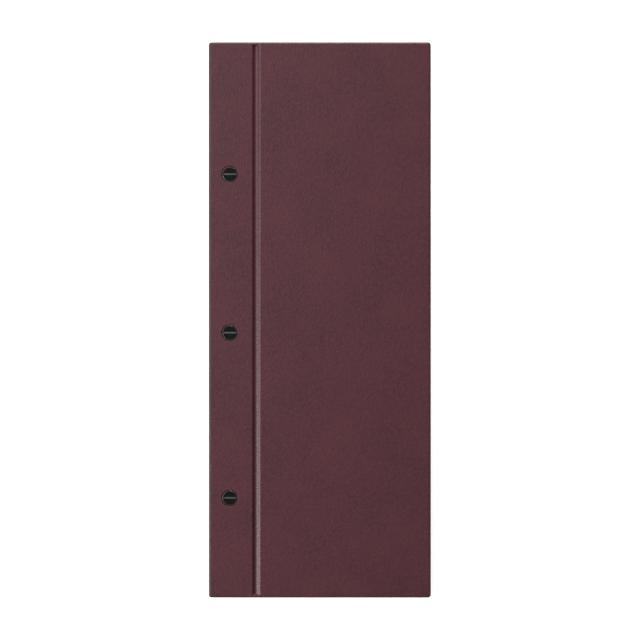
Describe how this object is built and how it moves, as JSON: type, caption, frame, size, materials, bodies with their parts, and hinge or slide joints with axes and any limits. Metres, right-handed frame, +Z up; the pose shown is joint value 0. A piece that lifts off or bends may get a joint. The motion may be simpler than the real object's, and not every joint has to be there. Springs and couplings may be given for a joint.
{
  "type": "coin album",
  "caption": "Tall narrow post-bound album: cloth-jointed covers, slotted screw posts, and leaves with round coin openings closed by clear slides.",
  "frame": {"origin": "centre of the footprint, on the face that the closed album lies on", "axes": "+X from the spine edge to the fore edge, +Y towards the head, +Z up through the front cover"},
  "size_m": [0.1456, 0.3634, 0.0176],
  "materials": {
    "leather_cloth": "burgundy embossed leather cloth, low sheen",
    "grey_board": "dense grey binder's board, matt",
    "lining_paper": "dark uncoated lining paper",
    "black_metal": "black-finished steel, satin",
    "core_board": "pale pulp board with die-cut edges",
    "face_card": "dark textured cover paper",
    "hinge_cloth": "plain-woven bookbinder's cloth",
    "clear_slide": "clear acetate, glossy"
  },
  "bodies": {
    "binding": {"front_binding_cloth": "leather_cloth", "front_binding_board": "grey_board", "front_binding_lining": "lining_paper", "back_binding_cloth": "leather_cloth", "back_binding_board": "grey_board", "back_binding_lining": "lining_paper", "spacer_1": "grey_board", "spacer_2": "grey_board", "spacer_3": "grey_board", "leaf_1_tab": "core_board", "leaf_2_tab": "core_board", "post_1": "black_metal", "post_2": "black_metal", "post_3": "black_metal"},
    "front_joint": {"front_joint_cloth": "leather_cloth"},
    "front_cover": {"front_panel_cloth": "leather_cloth", "front_panel_board": "grey_board", "front_panel_lining": "lining_paper"},
    "back_joint": {"back_joint_cloth": "leather_cloth"},
    "back_cover": {"back_panel_cloth": "leather_cloth", "back_panel_board": "grey_board", "back_panel_lining": "lining_paper"},
    "leaf_1_hinge": {"leaf_1_hinge_cloth": "hinge_cloth"},
    "leaf_1": {"leaf_1_core": "core_board", "leaf_1_front_card": "face_card", "leaf_1_back_card": "face_card"},
    "leaf_2_hinge": {"leaf_2_hinge_cloth": "hinge_cloth"},
    "leaf_2": {"leaf_2_core": "core_board", "leaf_2_front_card": "face_card", "leaf_2_back_card": "face_card"},
    "screw_1": {"screw_1": "black_metal"},
    "screw_2": {"screw_2": "black_metal"},
    "screw_3": {"screw_3": "black_metal"},
    "leaf_1_front_slide_1": {"leaf_1_front_slide_1": "clear_slide"},
    "leaf_1_front_slide_2": {"leaf_1_front_slide_2": "clear_slide"},
    "leaf_1_front_slide_3": {"leaf_1_front_slide_3": "clear_slide"},
    "leaf_1_front_slide_4": {"leaf_1_front_slide_4": "clear_slide"},
    "leaf_1_front_slide_5": {"leaf_1_front_slide_5": "clear_slide"},
    "leaf_1_front_slide_6": {"leaf_1_front_slide_6": "clear_slide"},
    "leaf_1_back_slide_1": {"leaf_1_back_slide_1": "clear_slide"},
    "leaf_1_back_slide_2": {"leaf_1_back_slide_2": "clear_slide"},
    "leaf_1_back_slide_3": {"leaf_1_back_slide_3": "clear_slide"},
    "leaf_1_back_slide_4": {"leaf_1_back_slide_4": "clear_slide"},
    "leaf_1_back_slide_5": {"leaf_1_back_slide_5": "clear_slide"},
    "leaf_1_back_slide_6": {"leaf_1_back_slide_6": "clear_slide"},
    "leaf_2_front_slide_1": {"leaf_2_front_slide_1": "clear_slide"},
    "leaf_2_front_slide_2": {"leaf_2_front_slide_2": "clear_slide"},
    "leaf_2_front_slide_3": {"leaf_2_front_slide_3": "clear_slide"},
    "leaf_2_front_slide_4": {"leaf_2_front_slide_4": "clear_slide"},
    "leaf_2_front_slide_5": {"leaf_2_front_slide_5": "clear_slide"},
    "leaf_2_front_slide_6": {"leaf_2_front_slide_6": "clear_slide"},
    "leaf_2_back_slide_1": {"leaf_2_back_slide_1": "clear_slide"},
    "leaf_2_back_slide_2": {"leaf_2_back_slide_2": "clear_slide"},
    "leaf_2_back_slide_3": {"leaf_2_back_slide_3": "clear_slide"},
    "leaf_2_back_slide_4": {"leaf_2_back_slide_4": "clear_slide"},
    "leaf_2_back_slide_5": {"leaf_2_back_slide_5": "clear_slide"},
    "leaf_2_back_slide_6": {"leaf_2_back_slide_6": "clear_slide"}
  },
  "joints": [
    {"name": "front_cover_open", "type": "hinge", "parent": "binding", "child": "front_joint", "pos_m": [-0.04485, 0, 0.01455], "axis": [0, -1, 0], "range_deg": [0, 90]},
    {"name": "back_cover_open", "type": "hinge", "parent": "binding", "child": "back_joint", "pos_m": [-0.04485, 0, 0.00255], "axis": [0, 1, 0], "range_deg": [0, 90]},
    {"name": "front_cover_fold", "type": "hinge", "parent": "front_joint", "child": "front_cover", "pos_m": [-0.03815, 0, 0.01455], "axis": [0, -1, 0], "range_deg": [0, 90]},
    {"name": "back_cover_fold", "type": "hinge", "parent": "back_joint", "child": "back_cover", "pos_m": [-0.03815, 0, 0.00255], "axis": [0, 1, 0], "range_deg": [0, 90]},
    {"name": "leaf_1_rise", "type": "hinge", "parent": "binding", "child": "leaf_1_hinge", "pos_m": [-0.04295, 0, 0.01095], "axis": [0, -1, 0], "range_deg": [0, 80]},
    {"name": "leaf_1_turn", "type": "hinge", "parent": "leaf_1_hinge", "child": "leaf_1", "pos_m": [-0.02845, 0, 0.01095], "axis": [0, -1, 0], "range_deg": [0, 95]},
    {"name": "leaf_2_rise", "type": "hinge", "parent": "binding", "child": "leaf_2_hinge", "pos_m": [-0.04295, 0, 0.00615], "axis": [0, -1, 0], "range_deg": [0, 66]},
    {"name": "leaf_2_turn", "type": "hinge", "parent": "leaf_2_hinge", "child": "leaf_2", "pos_m": [-0.02845, 0, 0.00615], "axis": [0, -1, 0], "range_deg": [0, 26]},
    {"name": "screw_1_turn", "type": "hinge", "parent": "binding", "child": "screw_1", "pos_m": [-0.05885, 0.09535, 0.01715], "axis": [0, 0, 1], "continuous": true},
    {"name": "screw_2_turn", "type": "hinge", "parent": "binding", "child": "screw_2", "pos_m": [-0.05885, -0.00835, 0.01715], "axis": [0, 0, 1], "continuous": true},
    {"name": "screw_3_turn", "type": "hinge", "parent": "binding", "child": "screw_3", "pos_m": [-0.05885, -0.11635, 0.01715], "axis": [0, 0, 1], "continuous": true},
    {"name": "leaf_1_front_slide_1_pull", "type": "slide", "parent": "leaf_1", "child": "leaf_1_front_slide_1", "axis": [1, 0, 0], "range_m": [0, 0.088]},
    {"name": "leaf_1_front_slide_2_pull", "type": "slide", "parent": "leaf_1", "child": "leaf_1_front_slide_2", "axis": [1, 0, 0], "range_m": [0, 0.088]},
    {"name": "leaf_1_front_slide_3_pull", "type": "slide", "parent": "leaf_1", "child": "leaf_1_front_slide_3", "axis": [1, 0, 0], "range_m": [0, 0.088]},
    {"name": "leaf_1_front_slide_4_pull", "type": "slide", "parent": "leaf_1", "child": "leaf_1_front_slide_4", "axis": [1, 0, 0], "range_m": [0, 0.088]},
    {"name": "leaf_1_front_slide_5_pull", "type": "slide", "parent": "leaf_1", "child": "leaf_1_front_slide_5", "axis": [1, 0, 0], "range_m": [0, 0.088]},
    {"name": "leaf_1_front_slide_6_pull", "type": "slide", "parent": "leaf_1", "child": "leaf_1_front_slide_6", "axis": [1, 0, 0], "range_m": [0, 0.088]},
    {"name": "leaf_1_back_slide_1_pull", "type": "slide", "parent": "leaf_1", "child": "leaf_1_back_slide_1", "axis": [1, 0, 0], "range_m": [0, 0.088]},
    {"name": "leaf_1_back_slide_2_pull", "type": "slide", "parent": "leaf_1", "child": "leaf_1_back_slide_2", "axis": [1, 0, 0], "range_m": [0, 0.088]},
    {"name": "leaf_1_back_slide_3_pull", "type": "slide", "parent": "leaf_1", "child": "leaf_1_back_slide_3", "axis": [1, 0, 0], "range_m": [0, 0.088]},
    {"name": "leaf_1_back_slide_4_pull", "type": "slide", "parent": "leaf_1", "child": "leaf_1_back_slide_4", "axis": [1, 0, 0], "range_m": [0, 0.088]},
    {"name": "leaf_1_back_slide_5_pull", "type": "slide", "parent": "leaf_1", "child": "leaf_1_back_slide_5", "axis": [1, 0, 0], "range_m": [0, 0.088]},
    {"name": "leaf_1_back_slide_6_pull", "type": "slide", "parent": "leaf_1", "child": "leaf_1_back_slide_6", "axis": [1, 0, 0], "range_m": [0, 0.088]},
    {"name": "leaf_2_front_slide_1_pull", "type": "slide", "parent": "leaf_2", "child": "leaf_2_front_slide_1", "axis": [1, 0, 0], "range_m": [0, 0.088]},
    {"name": "leaf_2_front_slide_2_pull", "type": "slide", "parent": "leaf_2", "child": "leaf_2_front_slide_2", "axis": [1, 0, 0], "range_m": [0, 0.088]},
    {"name": "leaf_2_front_slide_3_pull", "type": "slide", "parent": "leaf_2", "child": "leaf_2_front_slide_3", "axis": [1, 0, 0], "range_m": [0, 0.088]},
    {"name": "leaf_2_front_slide_4_pull", "type": "slide", "parent": "leaf_2", "child": "leaf_2_front_slide_4", "axis": [1, 0, 0], "range_m": [0, 0.088]},
    {"name": "leaf_2_front_slide_5_pull", "type": "slide", "parent": "leaf_2", "child": "leaf_2_front_slide_5", "axis": [1, 0, 0], "range_m": [0, 0.088]},
    {"name": "leaf_2_front_slide_6_pull", "type": "slide", "parent": "leaf_2", "child": "leaf_2_front_slide_6", "axis": [1, 0, 0], "range_m": [0, 0.088]},
    {"name": "leaf_2_back_slide_1_pull", "type": "slide", "parent": "leaf_2", "child": "leaf_2_back_slide_1", "axis": [1, 0, 0], "range_m": [0, 0.088]},
    {"name": "leaf_2_back_slide_2_pull", "type": "slide", "parent": "leaf_2", "child": "leaf_2_back_slide_2", "axis": [1, 0, 0], "range_m": [0, 0.088]},
    {"name": "leaf_2_back_slide_3_pull", "type": "slide", "parent": "leaf_2", "child": "leaf_2_back_slide_3", "axis": [1, 0, 0], "range_m": [0, 0.088]},
    {"name": "leaf_2_back_slide_4_pull", "type": "slide", "parent": "leaf_2", "child": "leaf_2_back_slide_4", "axis": [1, 0, 0], "range_m": [0, 0.088]},
    {"name": "leaf_2_back_slide_5_pull", "type": "slide", "parent": "leaf_2", "child": "leaf_2_back_slide_5", "axis": [1, 0, 0], "range_m": [0, 0.088]},
    {"name": "leaf_2_back_slide_6_pull", "type": "slide", "parent": "leaf_2", "child": "leaf_2_back_slide_6", "axis": [1, 0, 0], "range_m": [0, 0.088]}
  ],
  "couplings": [
    {"joint": "front_cover_fold", "follows": "front_cover_open", "ratio": 1},
    {"joint": "back_cover_fold", "follows": "back_cover_open", "ratio": 1},
    {"joint": "leaf_1_rise", "follows": "front_cover_open", "ratio": 0.88889},
    {"joint": "leaf_1_turn", "follows": "front_cover_open", "ratio": 1.0556},
    {"joint": "leaf_2_rise", "follows": "front_cover_open", "ratio": 0.73333},
    {"joint": "leaf_2_turn", "follows": "front_cover_open", "ratio": 0.28889}
  ]
}
